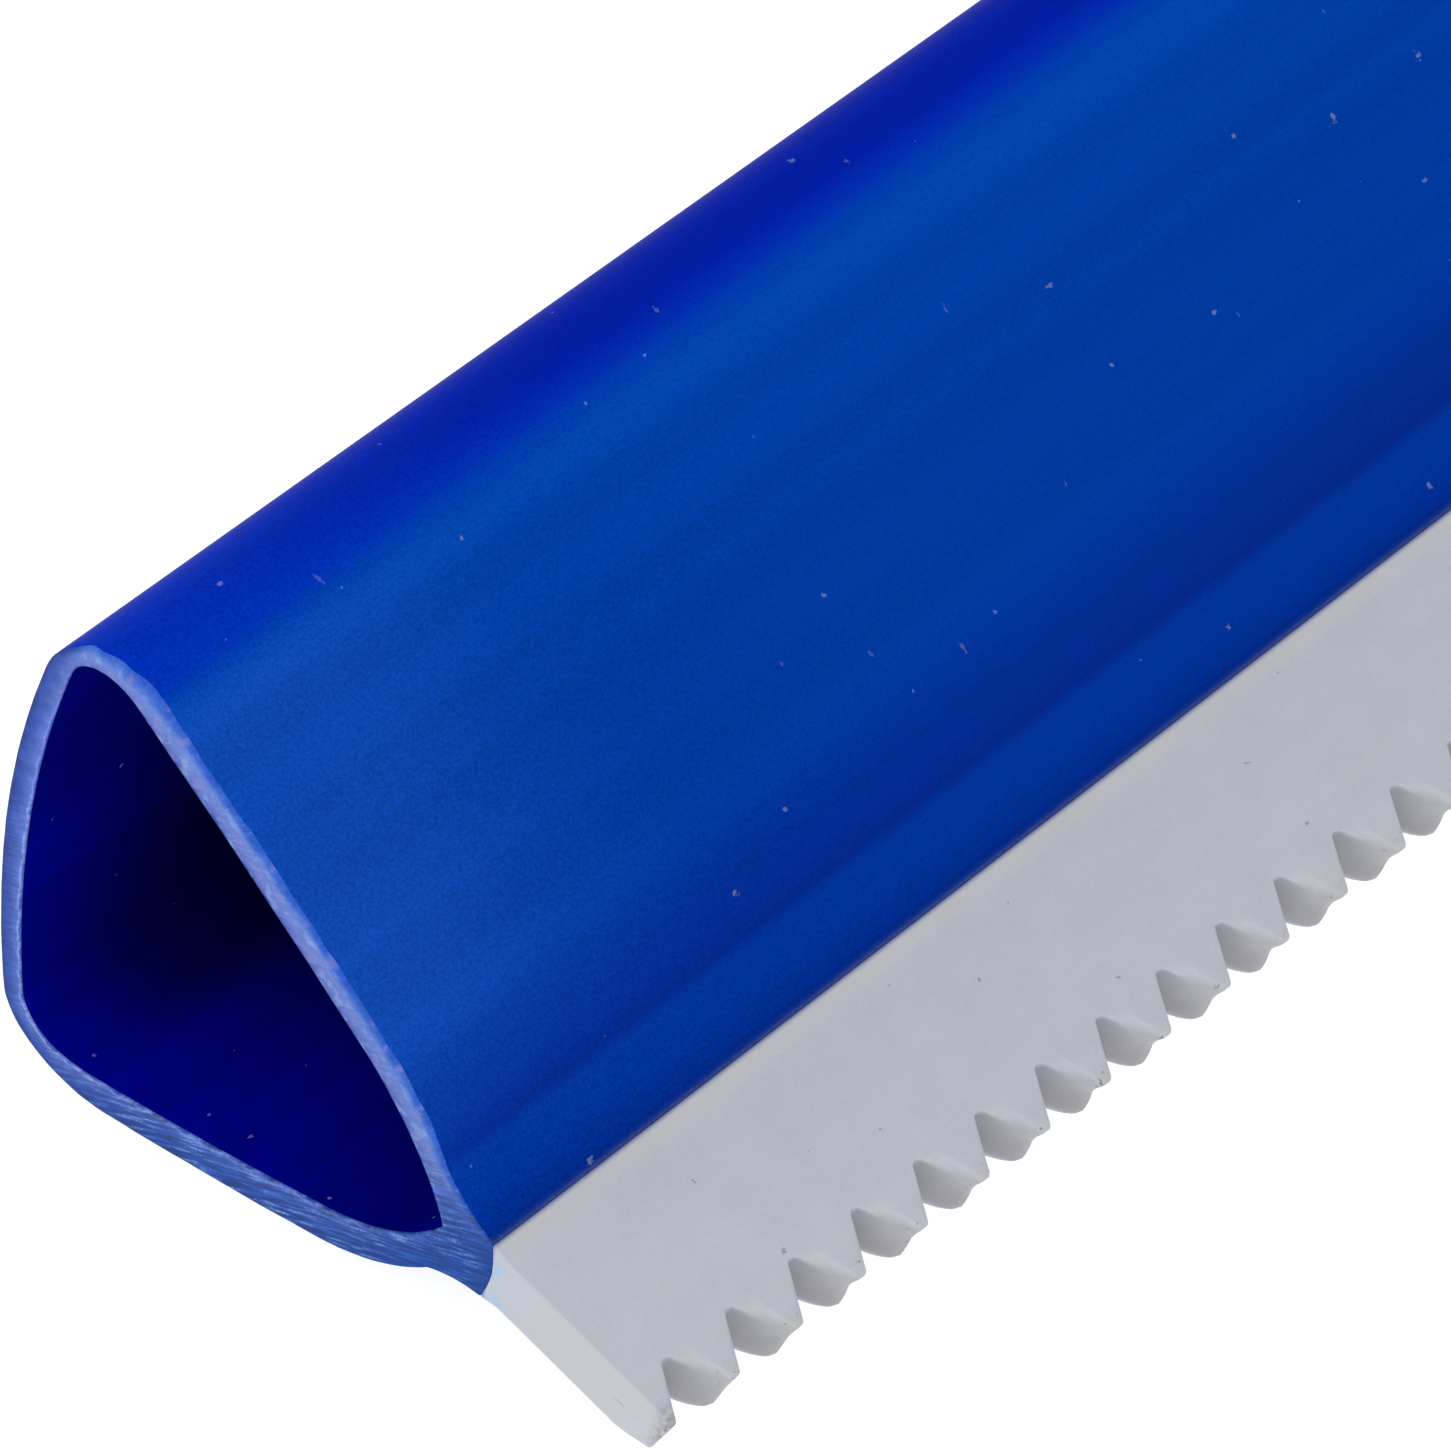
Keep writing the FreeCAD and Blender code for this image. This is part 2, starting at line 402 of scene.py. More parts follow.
def burr_height(point, girth, end):
    """Height of the ragged burr along the inner edge of a sawn end, where the saw came out."""
    coarse = noise.noise(Vector((girth * 1.3, end * 9.0, 2.2)))
    fine = noise.noise(Vector((girth * 4.1, end * 9.0, 4.4)))
    exit_side = 1 - smooth(-2.0, 3.0, point[0])
    return BURR_HEIGHT * exit_side * max(0.0, 0.2 + coarse + fine)


def rim_radius(point, girth):
    """Roundness of the outer edge of a sawn end at a point of the outside."""
    upper_panel = smooth(1.0, 6.0, point[0]) * (1 - smooth(32.5, 34.5, point[1]))
    behind_neck = smooth(0.5, 6.0, point[1])
    upper_corner = smooth(5.0, 9.0, point[0]) * smooth(24.0, 29.0, point[1])
    widest = between(RIM_RADIUS, CORNER_RIM, upper_corner)
    uneven = 1 + RIM_DRIFT * behind_neck * noise.noise(Vector((girth * 0.7, 6.6, 0.0)))
    return uneven * between(WELD_EASE, between(SHARP_RIM, widest, upper_panel), behind_neck)


class Wall:
    """The handle's wall, as columns round the section that each run from the outside to the hollow."""

    def __init__(self):
        upper_side = outer_side(UPPER_ARCS)
        hollow = closed(hollow_side(UPPER_HOLLOW_ARCS), hollow_side(UNDER_HOLLOW_ARCS))
        self.outer = closed(upper_side, outer_side(UNDER_ARCS))
        self.inner = [ray_hit(hollow, point) for point in self.outer]
        self.size = len(self.outer)
        self.girth = girths(self.outer)
        self.middle_girth = self.girth[len(upper_side) - 1]
        self.thick = [math.hypot(p[0] - q[0], p[1] - q[1]) for p, q in zip(self.outer, self.inner)]
        self.rims = [rim_radius(point, along) for point, along in zip(self.outer, self.girth)]

    def point(self, col, depth):
        """The section point that lies depth in from the outside."""
        share = depth / self.thick[col]
        start = self.outer[col]
        end = self.inner[col]
        return (between(start[0], end[0], share), between(start[1], end[1], share))

    def outer_ring(self, x):
        points = []
        for col in range(self.size):
            fade = smooth(0.5, 4.0, self.outer[col][1])
            points.append((x, *self.point(col, -ridge(self.girth[col], x) * fade)))
        return points

    def inner_ring(self, x):
        points = []
        for col in range(self.size):
            raised = INNER_WAVES * ridge(self.girth[col] + INNER_SHIFT, x)
            points.append((x, *self.point(col, self.thick[col] + raised)))
        return points

    def end_point(self, col, end, side, depth, set_back, saw, burr):
        """Point of a sawn end, with the shares that it has of the saw marks and of the burr."""
        spot = self.point(col, depth)
        lift = saw * saw_height(*spot) + burr * burr_height(spot, self.girth[col], end)
        return (end - side * (set_back + SAW_ROOM - lift), *spot)

    def end_rings(self, end, side):
        """Rings over a sawn end, from the outside to the hollow; side is -1 at the left end."""
        rings = []
        for angle in quarter_turn(RIM_STEPS):
            points = []
            for col, rim in enumerate(self.rims):
                depth = rim * (1 - math.cos(angle))
                set_back = rim * (1 - math.sin(angle))
                points.append(self.end_point(col, end, side, depth, set_back, math.sin(angle), 0.0))
            rings.append(points)
        for share in stations(0.0, 1.0, FACE_STEPS)[1:]:
            burr = smooth(BURR_FROM, 1.0, share)
            points = []
            for col, rim in enumerate(self.rims):
                depth = between(rim, self.thick[col] - BORE_RADIUS, share)
                points.append(self.end_point(col, end, side, depth, 0.0, 1.0, burr))
            rings.append(points)
        for angle in quarter_turn(RIM_STEPS):
            left = math.cos(angle)
            set_back = BORE_RADIUS * (1 - math.cos(angle))
            points = []
            for col, thick in enumerate(self.thick):
                depth = thick - BORE_RADIUS * (1 - math.sin(angle))
                points.append(self.end_point(col, end, side, depth, set_back, left, left))
            rings.append(points)
        return rings


def build_handle(materials):
    handle_wall = Wall()
    size = handle_wall.size
    girth = handle_wall.girth
    reach = max(handle_wall.rims) + SAW_ROOM
    outside = [handle_wall.outer_ring(x) for x in stations(RIGHT - reach, LEFT + reach, WALL_STEPS)]
    left_end = handle_wall.end_rings(LEFT, -1)
    reach = BORE_RADIUS + SAW_ROOM + BORE_ROOM
    inside = [handle_wall.inner_ring(x) for x in stations(LEFT + reach, RIGHT - reach, WALL_STEPS)]
    right_end = list(reversed(handle_wall.end_rings(RIGHT, 1)))
    rings = outside + left_end + inside + right_end
    rings.append(rings[0])
    # The outermost rows of each rounded rim belong to the outer wall, not to the sawn face
    sawn_rows = len(left_end) - 1
    slots = [PANEL] * len(outside) + [SAWN] * sawn_rows + [HOLLOW] * len(inside) + [SAWN] * sawn_rows
    slots += [PANEL] * (len(rings) - 1 - len(slots))

    def section(row, ring, spot):
        """(across, back) on a sawn face, and elsewhere (x, distance from the edge of the weld)."""
        if slots[row] == SAWN:
            return rings[ring][spot % size][1:]
        return (rings[ring][spot % size][0], abs(girth[spot] - handle_wall.middle_girth) - WELD_HALF)

    def wall(row, ring, spot):
        """How far through the wall from the outside, and the distance round the skin."""
        col = spot % size
        point = rings[ring][col]
        start = handle_wall.outer[col]
        depth = math.hypot(point[1] - start[0], point[2] - start[1])
        return (depth / handle_wall.thick[col], girth[spot])

    piece = closed_grid("handle", rings, slots, materials, {"section": section, "wall": wall})
    join_ends(piece)
    return piece


# ---------------- lip

def notch_profile(offset, shoulder_radius):
    """How much a notch takes off the tip line, at an offset from the notch's middle."""
    half = math.radians(NOTCH_ANGLE / 2)
    offset = abs(offset)
    # The root's arc stands in for the point of the V, and the shoulder's arc for the corner
    sharp_depth = NOTCH_DEPTH + ROOT_RADIUS / math.sin(half) - ROOT_RADIUS
    corner = sharp_depth * math.tan(half)
    set_back = shoulder_radius * math.tan((math.pi / 2 - half) / 2)
    if offset < ROOT_RADIUS * math.cos(half):
        return NOTCH_DEPTH - ROOT_RADIUS + math.sqrt(ROOT_RADIUS ** 2 - offset ** 2)
    if offset < corner - set_back * math.sin(half):
        return sharp_depth - offset / math.tan(half)
    if offset < corner + set_back:
        return shoulder_radius - math.sqrt(shoulder_radius ** 2 - (corner + set_back - offset) ** 2)
    return 0.0


def notch_at(x):
    """Index of the notch nearest to x, and the offset from its middle, which drifts a little."""
    place = (x - LEFT - FIRST_NOTCH) / PITCH
    index = min(NOTCH_COUNT - 1, max(0, round(place)))
    drift = NOTCH_DRIFT * noise.noise(Vector((index * 3.7, 0.5, 0.0)))
    return index, (place - index) * PITCH - drift


def notch_cut(x, share):
    """How much the notches take off the tip line at x, from share 0 at the upper face to 1."""
    index, offset = notch_at(x)
    deeper = NOTCH_DRIFT * noise.noise(Vector((index * 5.3, 8.5, 0.0)))
    shoulder = between(SHOULDER_RADIUS, UNDER_SHOULDER, share)
    flank = min(1.0, max(0.0, (abs(offset) - ROOT_RADIUS) / (PITCH / 2 - ROOT_RADIUS)))
    bulge = UNDER_BULGE * share * math.sin(math.pi * flank) ** 2
    return (notch_profile(offset, shoulder) - bulge) * (1 + deeper / NOTCH_DEPTH)


def lip_columns():
    """X stations of the lip: close together over the root, flanks and shoulders of each notch."""
    columns = set()
    for index in range(-1, NOTCH_COUNT + 1):
        middle = LEFT + FIRST_NOTCH + index * PITCH
        for offset in ROOT_STATIONS + FLANK_STATIONS + SHOULDER_STATIONS:
            columns.add(round(middle - offset, 4))
            columns.add(round(middle + offset, 4))
    room = END_EASE + END_ROOM
    inner = sorted(x for x in columns if LEFT + 2 * room < x < RIGHT - 2 * room)
    return [LEFT + room] + inner + [RIGHT - room]


def face_half(depth):
    """Half the lip's thickness at a depth, with the flare towards the weld."""
    return LIP_HALF + (WELD_HALF - LIP_HALF) * (1 - smooth(0.0, LIP_SHOULDER, depth))


def end_trim(x, depth):
    """How far the under face stands back near the ends of the lip."""
    near_end = 1 - smooth(0.0, END_TRIM_LENGTH, min(x - LEFT, RIGHT - x) - END_EASE)
    return END_TRIM * near_end * smooth(END_TRIM_FROM, UNDER_DEPTH, depth)


def upper_ease(offset):
    """Roundness of the upper edge, across the lip and along its depth, at an offset in a notch."""
    root, near_flank, far_flank, tip = EDGE_EASE
    away = abs(offset)
    flank = far_flank if offset > 0 else near_flank
    across = between(root, flank, smooth(ROOT_RADIUS, 1.3, away))
    across = between(across, tip, smooth(1.3, 2.0, away))
    slanted = smooth(0.2, 0.6, away) * (1 - smooth(1.7, 2.1, away))
    return across, across * between(1.0, 1 / math.sin(math.radians(NOTCH_ANGLE / 2)), slanted)


def cut_dish(x):
    """How far the cut face is hollowed at x. The saw has left the ends of the lip flatter."""
    uneven = 0.8 + 0.6 * noise.noise(Vector((x / PITCH, 3.3, 0.0)))
    return CUT_DISH * uneven * smooth(0.5, 15.0, min(x - LEFT, RIGHT - x))


def face_points(x, side, tip, ease, run):
    """One face of the lip at x, from the weld down and round its edge; side is 1 for the upper face."""
    points = []
    for depth in FACE_DEPTHS + tuple(stations(FACE_DEPTHS[-1], tip - run, TIP_STEPS)[1:]):
        trim = end_trim(x, depth) if side < 0 else 0.0
        points.append((side * face_half(depth) + trim, -depth))
    edge = points[-1][0]
    for angle in quarter_turn(EASE_STEPS):
        across = edge - side * ease * (1 - math.cos(angle))
        points.append((across, -(tip - run * (1 - math.sin(angle)))))
    return points


def lip_ring(x):
    """Closed ring round the lip at x, as (across, back), from the weld down the upper face."""
    offset = notch_at(x)[1]
    upper = face_points(x, 1, UPPER_DEPTH - notch_cut(x, 0.0), *upper_ease(offset))
    at_tip = smooth(1.0, 2.0, abs(offset))
    under_ease = between(*UNDER_EASE, at_tip)
    under_run = between(*UNDER_RUN, at_tip)
    under = face_points(x, -1, UNDER_DEPTH - notch_cut(x, 1.0), under_ease, under_run)
    dish = cut_dish(x)
    band = []
    for share in stations(0.0, 1.0, BAND_STEPS)[1:-1]:
        across = between(upper[-1][0], under[-1][0], share)
        depth = between(UPPER_DEPTH, UNDER_DEPTH, share) - notch_cut(x, share)
        depth -= dish * math.sin(math.pi * share ** 0.85) ** 2
        band.append((across, -depth))
    reach = WELD_HALF - WELD_EASE
    weld = [(across, weld_back(across)) for across in stations(-reach, reach, 2 * LIP_WELD_STEPS)]
    return upper + band + list(reversed(under)) + weld


def spine_point(x, point):
    """Where a point of the lip's ring goes as an end face closes towards its middle line."""
    depth = min(UPPER_DEPTH - SPINE_TIP_ROOM, max(SPINE_ROOM, -point[1]))
    return (end_trim(x, depth) / 2, -depth)


def lip_end(end, side):
    """Rings that close an end of the lip, from its middle line out to its skin."""
    x = end - side * (END_EASE + END_ROOM)
    ring = lip_ring(x)
    spine = [spine_point(x, point) for point in ring]
    spans = [max(END_EASE, math.hypot(p[0] - s[0], p[1] - s[1])) for p, s in zip(ring, spine)]

    def end_ring(insets, set_back, saw):
        """The ring moved in towards the spine, with a share of the saw marks."""
        points = []
        for point, middle, span, inset in zip(ring, spine, spans, insets):
            share = inset / span
            spot = (between(point[0], middle[0], share), between(point[1], middle[1], share))
            lift = END_MARKS * saw_height(*spot) * saw
            points.append((end - side * (END_ROOM + set_back - lift), *spot))
        return points

    rings = []
    for share in CAP_SHARES:
        rings.append(end_ring([between(END_EASE, span, share) for span in spans], 0.0, 1.0))
    for angle in quarter_turn(EASE_STEPS)[:-1]:
        insets = [END_EASE * (1 - math.sin(angle))] * len(ring)
        rings.append(end_ring(insets, END_EASE * (1 - math.cos(angle)), math.cos(angle)))
    return rings


def build_lip(materials):
    columns = []
    for x in lip_columns():
        columns.append([(x, across, back) for across, back in lip_ring(x)])
    rings = lip_end(LEFT, -1) + columns + list(reversed(lip_end(RIGHT, 1)))
    size = len(rings[0])

    def section(row, ring, spot):
        """(x, depth from the weld)."""
        point = rings[ring][spot % size]
        return (point[0], -point[2])

    def wall(row, ring, spot):
        """(across, depth from the weld)."""
        point = rings[ring][spot % size]
        return (point[1], -point[2])

    layers = {"section": section, "wall": wall}
    piece = closed_grid("lip", rings, [0] * (len(rings) - 1), materials, layers)
    join_ends(piece)
    return piece


# ---------------- materials

def paint(red, green, blue):
    """A colour as it looks on screen, 0 to 255, as the linear values that the shader takes."""
    linear = []
    for value in (red, green, blue):
        share = value / 255
        linear.append(share / 12.92 if share <= 0.04045 else ((share + 0.055) / 1.055) ** 2.4)
    return (*linear, 1.0)


class Look:
    """Builds the nodes of one material. A step returns the socket of its result, if it has one."""

    def __init__(self, name, gloss):
        self.material = bpy.data.materials.new(name)
        self.material.use_nodes = True
        self.tree = self.material.node_tree
        self.shader = self.tree.nodes["Principled BSDF"]
        self.shader.inputs["Specular IOR Level"].default_value = gloss

    def node(self, kind, **settings):
        made = self.tree.nodes.new(kind)
        for key, value in settings.items():
            setattr(made, key, value)
        return made

    def feed(self, socket, value):
        """Links value to the socket if it is another socket, and otherwise sets the socket to it."""
        if isinstance(value, bpy.types.NodeSocket):
            self.tree.links.new(value, socket)
        else:
            socket.default_value = value

    def layer(self, name):
        """The two coordinates of a layer, in millimetres."""
        source = self.node("ShaderNodeUVMap", uv_map=name)
        parts = self.node("ShaderNodeSeparateXYZ")
        self.feed(parts.inputs[0], source.outputs["UV"])
        return parts.outputs["X"], parts.outputs["Y"]

    def spot(self, along, around):
        """Place on the object, with the features of a texture this many per millimetre."""
        source = self.node("ShaderNodeTexCoord")
        spread = self.node("ShaderNodeMapping")
        self.feed(spread.inputs["Vector"], source.outputs["Object"])
        self.feed(spread.inputs["Scale"], (along / MM, around / MM, around / MM))
        return spread.outputs["Vector"]

    def maths(self, operation, first, second):
        made = self.node("ShaderNodeMath", operation=operation)
        self.feed(made.inputs[0], first)
        self.feed(made.inputs[1], second)
        return made.outputs["Value"]

    def times(self, first, second):
        return self.maths("MULTIPLY", first, second)

    def plus(self, first, second):
        return self.maths("ADD", first, second)

    def larger(self, first, second):
        return self.maths("MAXIMUM", first, second)

    def pair(self, first, second):
        made = self.node("ShaderNodeCombineXYZ")
        self.feed(made.inputs["X"], first)
        self.feed(made.inputs["Y"], second)
        return made.outputs["Vector"]

    def grain(self, vector, detail=2.0):
        """Noise about 0.5."""
        made = self.node("ShaderNodeTexNoise")
        self.feed(made.inputs["Vector"], vector)
        self.feed(made.inputs["Scale"], 1.0)
        self.feed(made.inputs["Detail"], detail)
        return made.outputs["Fac"]

    def span(self, value, low, high, to_low=0.0, to_high=1.0):
        """Smooth step from to_low to to_high as value goes from low to high."""
        made = self.node("ShaderNodeMapRange", interpolation_type="SMOOTHSTEP")
        self.feed(made.inputs["Value"], value)
        self.feed(made.inputs["From Min"], low)
        self.feed(made.inputs["From Max"], high)
        self.feed(made.inputs["To Min"], to_low)
        self.feed(made.inputs["To Max"], to_high)
        return made.outputs["Result"]

    def spread(self, grain, low, high):
        """Grain stretched to run from low to high."""
        return self.span(grain, 0.3, 0.7, low, high)

    def from_end(self, x):
        """Distance in from the nearer sawn end."""
        return self.maths("SUBTRACT", LENGTH / 2, self.maths("ABSOLUTE", x, 0.0))

    def ramp(self, value, full, stops):
        """Colour at a value from 0 to full, between stops of (value, colour)."""
        made = self.node("ShaderNodeValToRGB")
        elements = made.color_ramp.elements
        for index, (place, colour) in enumerate(stops):
            if index < 2:
                elements[index].position = place / full
            else:
                elements.new(place / full)
            elements[index].color = colour
        self.feed(made.inputs["Fac"], self.maths("DIVIDE", value, full))
        return made.outputs["Color"]

    def mix(self, share, under, over):
        made = self.node("ShaderNodeMix", data_type="RGBA")
        self.feed(made.inputs["Factor"], share)
        self.feed(made.inputs["A"], under)
        self.feed(made.inputs["B"], over)
        return made.outputs["Result"]

    def shade(self, colour, amount):
        """The colour times amount."""
        made = self.node("ShaderNodeVectorMath", operation="SCALE")
        self.feed(made.inputs[0], colour)
        self.feed(made.inputs["Scale"], amount)
        return made.outputs["Vector"]

    def varied(self, colour, swing):
        """The colour, lighter or darker by a share swing."""
        return self.shade(colour, self.plus(1.0, swing))

    def specks(self, first, second, radius, kept):
        """Small ragged blots on two coordinates, in a share kept of their unit cells."""
        cells = self.node("ShaderNodeTexVoronoi", voronoi_dimensions="2D")
        self.feed(cells.inputs["Vector"], self.pair(first, second))
        self.feed(cells.inputs["Scale"], 1.0)
        parts = self.node("ShaderNodeSeparateXYZ")
        self.feed(parts.inputs[0], cells.outputs["Color"])
        chosen = self.maths("LESS_THAN", parts.outputs["X"], kept)
        size = self.times(parts.outputs["Y"], radius)
        ragged = self.spread(self.grain(self.spot(4.0, 4.0)), 0.4, 1.6)
        distance = self.times(cells.outputs["Distance"], ragged)
        blot = self.span(distance, size, self.times(size, 0.5))
        return self.times(chosen, blot)

    def bump(self, height, size):
        """Bump from a height of 0 to 1 that stands for size millimetres."""
        made = self.node("ShaderNodeBump")
        self.feed(made.inputs["Height"], height)
        self.feed(made.inputs["Distance"], size * MM)
        self.feed(self.shader.inputs["Normal"], made.outputs["Normal"])

    def colour(self, value):
        self.feed(self.shader.inputs["Base Color"], value)

    def roughness(self, value):
        self.feed(self.shader.inputs["Roughness"], value)


# Colours of the materials; where one holds painted light or shade, its comment says so
BAND_END = 60.8          # just past the middle of the back
# The panel's blue with painted light and shade across the skin: a painted highlight on the rounded edge
# at the weld, painted shade beside it and at the kink above the neck, and a painted darker strip over
# the upper corner
PANEL_BANDS_AND_SHADE = [          # (distance from the edge of the weld, colour)
    (0.0, paint(58, 74, 130)),
    (0.05, paint(70, 94, 160)),
    (0.13, paint(66, 94, 166)),
    (0.24, paint(10, 44, 134)),
    (0.32, paint(0, 36, 126)),
    (0.7, paint(0, 44, 143)),
    (2.0, paint(0, 52, 155)),
    (4.3, paint(0, 54, 157)),
    (5.0, paint(0, 43, 148)),
    (7.0, paint(0, 46, 150)),
    (10.0, paint(0, 52, 155)),
    (13.0, paint(0, 58, 158)),
    (21.0, paint(0, 59, 160)),
    (29.0, paint(0, 65, 168)),
    (31.5, paint(0, 69, 175)),
    (32.6, paint(0, 60, 173)),
    (33.5, paint(0, 44, 171)),
    (35.0, paint(0, 30, 165)),
    (42.0, paint(0, 30, 164)),
    (48.0, paint(0, 33, 158)),
    (56.0, paint(0, 41, 166)),
    (BAND_END, paint(0, 34, 158)),
]
# Painted sheen: the paler blue near the sawn ends and over the back, and on the crest near the ends
PANEL_SHEEN = paint(24, 80, 186)
CREST_SHEEN = paint(0, 50, 184)
DUST = paint(190, 205, 235)
SCRATCH = paint(150, 155, 210)
SAWN_LOWER = [           # (share of the way through the wall, colour)
    (0.0, paint(34, 58, 128)),
    (0.12, paint(44, 66, 138)),
    (0.3, paint(48, 80, 167)),
    (0.5, paint(62, 87, 174)),
    (0.7, paint(75, 103, 182)),
    (0.88, paint(90, 115, 202)),
    (0.94, paint(116, 140, 222)),
    (1.0, paint(80, 104, 196)),
]
# Painted light: the sawn face along the upper panel is lighter than the rest
SAWN_UPPER_GLOW = [
    (0.0, paint(46, 92, 198)),
    (0.12, paint(66, 108, 200)),
    (0.3, paint(98, 129, 206)),
    (0.5, paint(104, 126, 200)),
    (0.7, paint(98, 120, 194)),
    (0.88, paint(82, 104, 188)),
    (1.0, paint(36, 56, 140)),
]
SAWN_NOSE = paint(16, 66, 148)
SAWN_STREAK = paint(132, 164, 210)
SAWN_CHIP = paint(150, 172, 236)
SAWN_PINK = paint(132, 132, 200)
SAWN_PALE = paint(140, 168, 220)
# Painted shade in the hollow: lit near its mouths, dark deep inside
HOLLOW_DEEP_SHADE = paint(0, 1, 22)
HOLLOW_MOUTH_LIT = paint(0, 4, 148)
HOLLOW_GLINT = paint(30, 50, 200)
LIP_GREY = paint(187, 190, 197)
LIP_COOL = paint(184, 188, 199)
LIP_STAIN = paint(192, 191, 190)
LIP_SMEAR = paint(150, 190, 222)
LIP_END = paint(186, 189, 196)
LIP_TIP = paint(176, 172, 158)
# A more neutral grey for the cut faces, with painted shade in it
LIP_CUT_AND_SHADE = paint(163, 163, 167)
LIP_SEAM = paint(112, 122, 170)
GRIME = paint(95, 88, 75)
FLOOR_GREY = (0.3, 0.3, 0.3, 1.0)

# Stretches over which a look changes, as (where it starts, where it is full), in millimetres.
# Over the skin, from the edge of the weld:
PALE_RISE = (2.0, 13.0)          # the paler ends begin on the cheek
PALE_STOP = (32.8, 30.8)         # and stop below the crest
CREST_RISE = (32.2, 34.2)
BACK_RISE = (37.0, 44.0)         # painted sheen over the back
# In from a sawn end:
PALE_REACH = (24.0, -2.0)
CREST_REACH = (34.0, -2.0)
ROUGH_REACH = (50.0, 0.0)
MOUTH_REACH = (0.0, 30.0)
SHADE_REACH = (1.0, 14.0)
CREASE_REACH = (1.0, 10.0)
# Round the skin, from the middle of the back over the upper side:
BACK_ABOVE_HEEL = (98.0, 106.0)
BACK_BELOW_CORNER = (22.0, 12.0)
CREASE_FROM_PANEL = (94.0, 99.0)
CREASE_FROM_BACK = (107.0, 102.0)
NOSE_SIDE = (84.0, 70.0)
# Across a sawn face:
UPPER_SIDE = (1.0, 5.0)
UNDER_SIDE = (4.0, 0.0)
MARKED_SIDE = (6.0, 0.0)         # the saw marks are plain on the under side
# Towards the back on a sawn face:
BELOW_CREST = (34.5, 32.5)
MARKED_PART = (32.0, 22.0)       # and towards the nose
NOSE = (12.0, 2.0)
OFF_WELD = (0.0, 5.0)
# Down the lip:
STAINED = (1.5, 0.3)
SMEARED = (3.2, 0.0)
SEAM = (0.36, 0.0)
CUT_BEGINS = (LIP_SHOULDER, LIP_SHOULDER + 1.0)
TIP_BEGINS = (UNDER_DEPTH - 0.4, UPPER_DEPTH - 0.1)
DIRTY_CORNER = (11.6, 13.0)


def painted_end_sheen(look, base, from_weld, from_end):
    """Painted sheen: the skin is paler near the sawn ends, in clouds on the panel and evenly on the
    crest.
    """
    clouds = look.grain(look.spot(0.05, 0.09))
    fade = look.times(look.span(from_end, *PALE_REACH), look.span(clouds, 0.2, 0.7, 0.6, 1.0))
    on_panel = look.times(look.span(from_weld, *PALE_RISE), look.span(from_weld, *PALE_STOP, 0.0, 0.65))
    base = look.mix(look.times(fade, on_panel), base, PANEL_SHEEN)
    crest = look.times(look.span(from_weld, *CREST_RISE), look.span(from_end, *CREST_REACH, 0.0, 0.8))
    return look.mix(crest, base, CREST_SHEEN)


def panel_plastic():
    """Satin blue skin: bands with painted light and shade in them, streaks along the handle, fine
    grain, dust, a few scratches, and painted sheen near the ends and over the back.
    """
    look = Look("panel_plastic", 0.008)
    x, from_weld = look.layer("section")
    girth = look.layer("wall")[1]
    from_end = look.from_end(x)
    streaks = look.grain(look.spot(0.005, 0.45), 4.0)
    fine = look.grain(look.spot(6.0, 6.0), 1.0)
    # Painted highlight and painted shade across the skin come from these bands
    base = look.ramp(from_weld, BAND_END, PANEL_BANDS_AND_SHADE)
    # Painted sheen near the sawn ends
    base = painted_end_sheen(look, base, from_weld, from_end)
    rough = look.span(fine, 0.2, 0.8, -0.2, 0.2)
    rough = look.times(rough, look.span(from_end, *ROUGH_REACH, 0.5, 1.0))
    base = look.shade(base, look.plus(look.span(streaks, 0.25, 0.75, 0.93, 1.07), rough))
    dust = look.specks(look.times(x, 0.14), look.times(girth, 0.14), 0.026, 0.6)
    base = look.mix(look.times(dust, 0.2), base, DUST)
    scratch = look.specks(look.times(x, 0.2), look.times(girth, 0.08), 0.03, 0.3)
    base = look.mix(look.times(scratch, 0.18), base, SCRATCH)
    # Painted sheen: pale streaks over the back, in place of a highlight
    back_sheen = look.grain(look.pair(look.times(x, 0.02), look.times(girth, 1.1)), 4.0)
    back_sheen = look.times(look.span(back_sheen, 0.5, 0.7), look.span(from_weld, *BACK_RISE, 0.0, 0.22))
    base = look.mix(back_sheen, base, PANEL_SHEEN)
    look.colour(base)
    look.roughness(look.span(streaks, 0.2, 0.8, 0.38, 0.5))
    look.bump(look.plus(look.times(streaks, 0.5), fine), 0.01)
    return look.material


def sawn_wall(look, across, back, share, torn):
    """Colours through the wall, lighter and milky on the upper panel with painted light, and the two
    shares that they come from.
    """
    ragged = look.plus(share, look.spread(torn, -0.06, 0.06))
    lower = look.ramp(ragged, 1.0, SAWN_LOWER)
    upper = look.ramp(ragged, 1.0, SAWN_UPPER_GLOW)
    mottle = look.grain(look.pair(look.times(across, 0.9), look.times(back, 0.9)), 3.0)
    upper = look.mix(look.span(mottle, 0.48, 0.34, 0.0, 0.5), upper, SAWN_PINK)
    pale = look.times(look.span(mottle, 0.52, 0.68, 0.0, 0.55), look.span(share, 0.05, 0.35))
    upper = look.mix(pale, upper, SAWN_PALE)
    # Painted light on the sawn face along the upper panel
    on_panel = look.times(look.span(across, *UPPER_SIDE), look.span(back, *BELOW_CREST))
    return look.mix(on_panel, lower, upper), on_panel, ragged


def saw_chips(look, base, across, share, girth, ragged):
    """Bright chips along the edge of the hollow, on the under side."""
    inner_edge = look.times(look.span(ragged, 0.84, 0.93), look.span(ragged, 1.03, 0.95))
    chips = look.grain(look.pair(look.times(girth, 2.2), look.times(share, 3.0)), 3.0)
    chipped = look.times(inner_edge, look.span(chips, 0.4, 0.6, 0.1, 0.8))
    return look.mix(look.times(chipped, look.span(across, *UNDER_SIDE)), base, SAWN_CHIP)


